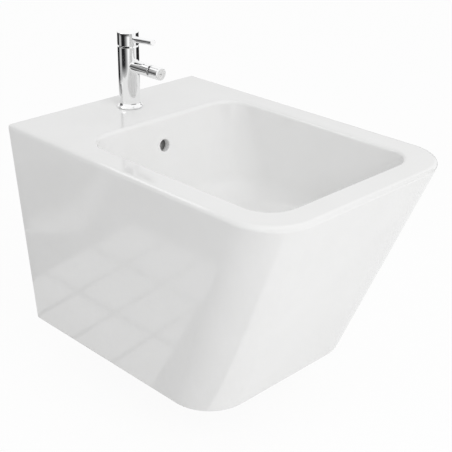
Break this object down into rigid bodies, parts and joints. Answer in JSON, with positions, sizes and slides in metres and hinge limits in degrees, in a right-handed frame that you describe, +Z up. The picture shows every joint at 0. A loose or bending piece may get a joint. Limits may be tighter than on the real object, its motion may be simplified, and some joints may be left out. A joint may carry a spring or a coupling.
{
  "type": "wall-hung bidet",
  "caption": "Wall-hung ceramic bidet with a deep rectangular bowl, overflow, single-lever swivel-nozzle mixer and push-button waste.",
  "frame": {"origin": "on the wall plane, midway between the two wall fixing holes", "axes": "+Z up, +Y into the wall, so the bidet reaches out towards -Y; +X to the right of someone facing the wall"},
  "size_m": [0.359, 0.5146, 0.4396],
  "materials": {
    "ceramic": "white gloss glaze",
    "chrome": "polished plate on brass",
    "brass": "turned, unplated",
    "steel": "plain",
    "rubber": "matt black",
    "disc_ceramic": "lapped alumina",
    "white_plastic": "satin moulding",
    "grey_plastic": "satin moulding"
  },
  "bodies": {
    "bidet": {"ceramic_body": "ceramic", "ceramic_bowl": "ceramic", "fixing_bushes": "white_plastic", "fixing_washers": "steel", "fixing_nuts": "steel", "waste_body": "chrome", "waste_gasket": "rubber", "lower_gasket": "rubber", "waste_washer": "white_plastic", "waste_nut": "brass", "button_sleeve": "brass", "button_spring": "steel", "tap_body": "chrome", "base_seal": "rubber", "horseshoe_gasket": "rubber", "horseshoe_washer": "steel", "tap_stud": "steel", "tap_nut": "brass", "port_seals": "rubber", "cartridge_base": "white_plastic", "fixed_disc": "disc_ceramic", "cartridge_housing": "white_plastic", "ring_nut": "brass", "dome_ring": "chrome", "ball_stem": "chrome"},
    "rotor": {"cartridge_rotor": "grey_plastic", "pivot_pin": "steel"},
    "handle": {"cartridge_spindle": "steel", "handle_cap": "chrome", "handle_screw": "steel", "lever_pin": "chrome"},
    "disc": {"moving_disc": "disc_ceramic", "disc_carrier": "grey_plastic"},
    "liner": {"ball_liner": "white_plastic"},
    "nozzle": {"nozzle_collar": "chrome", "nozzle_shell": "chrome", "aerator_seal": "rubber", "aerator_insert": "white_plastic"},
    "plug": {"waste_plug": "chrome", "plug_seal": "rubber", "plug_stem": "brass"}
  },
  "joints": [
    {"name": "temperature_turn", "type": "hinge", "parent": "bidet", "child": "rotor", "pos_m": [0, -0.0549, 0.17205], "axis": [0, 0, 1], "range_deg": [-50, 50]},
    {"name": "flow_lift", "type": "hinge", "parent": "rotor", "child": "handle", "pos_m": [0, -0.0549, 0.17205], "axis": [-1, 0, 0], "range_deg": [0, 20]},
    {"name": "disc_slide", "type": "slide", "parent": "rotor", "child": "disc", "axis": [0, -1, 0], "range_m": [0, 0.003]},
    {"name": "nozzle_swing", "type": "hinge", "parent": "bidet", "child": "liner", "pos_m": [0, -0.1153, 0.1495], "axis": [0, 0, 1], "range_deg": [-15, 15]},
    {"name": "nozzle_tilt", "type": "hinge", "parent": "liner", "child": "nozzle", "pos_m": [0, -0.1153, 0.1495], "axis": [1, 0, 0], "range_deg": [-15, 15]},
    {"name": "plug_lift", "type": "slide", "parent": "bidet", "child": "plug", "axis": [0, 0, 1], "range_m": [0, 0.008], "deforming": ["button_spring"]}
  ],
  "couplings": [
    {"joint": "disc_slide", "follows": "flow_lift", "m_per_rad": 0.0085244}
  ]
}
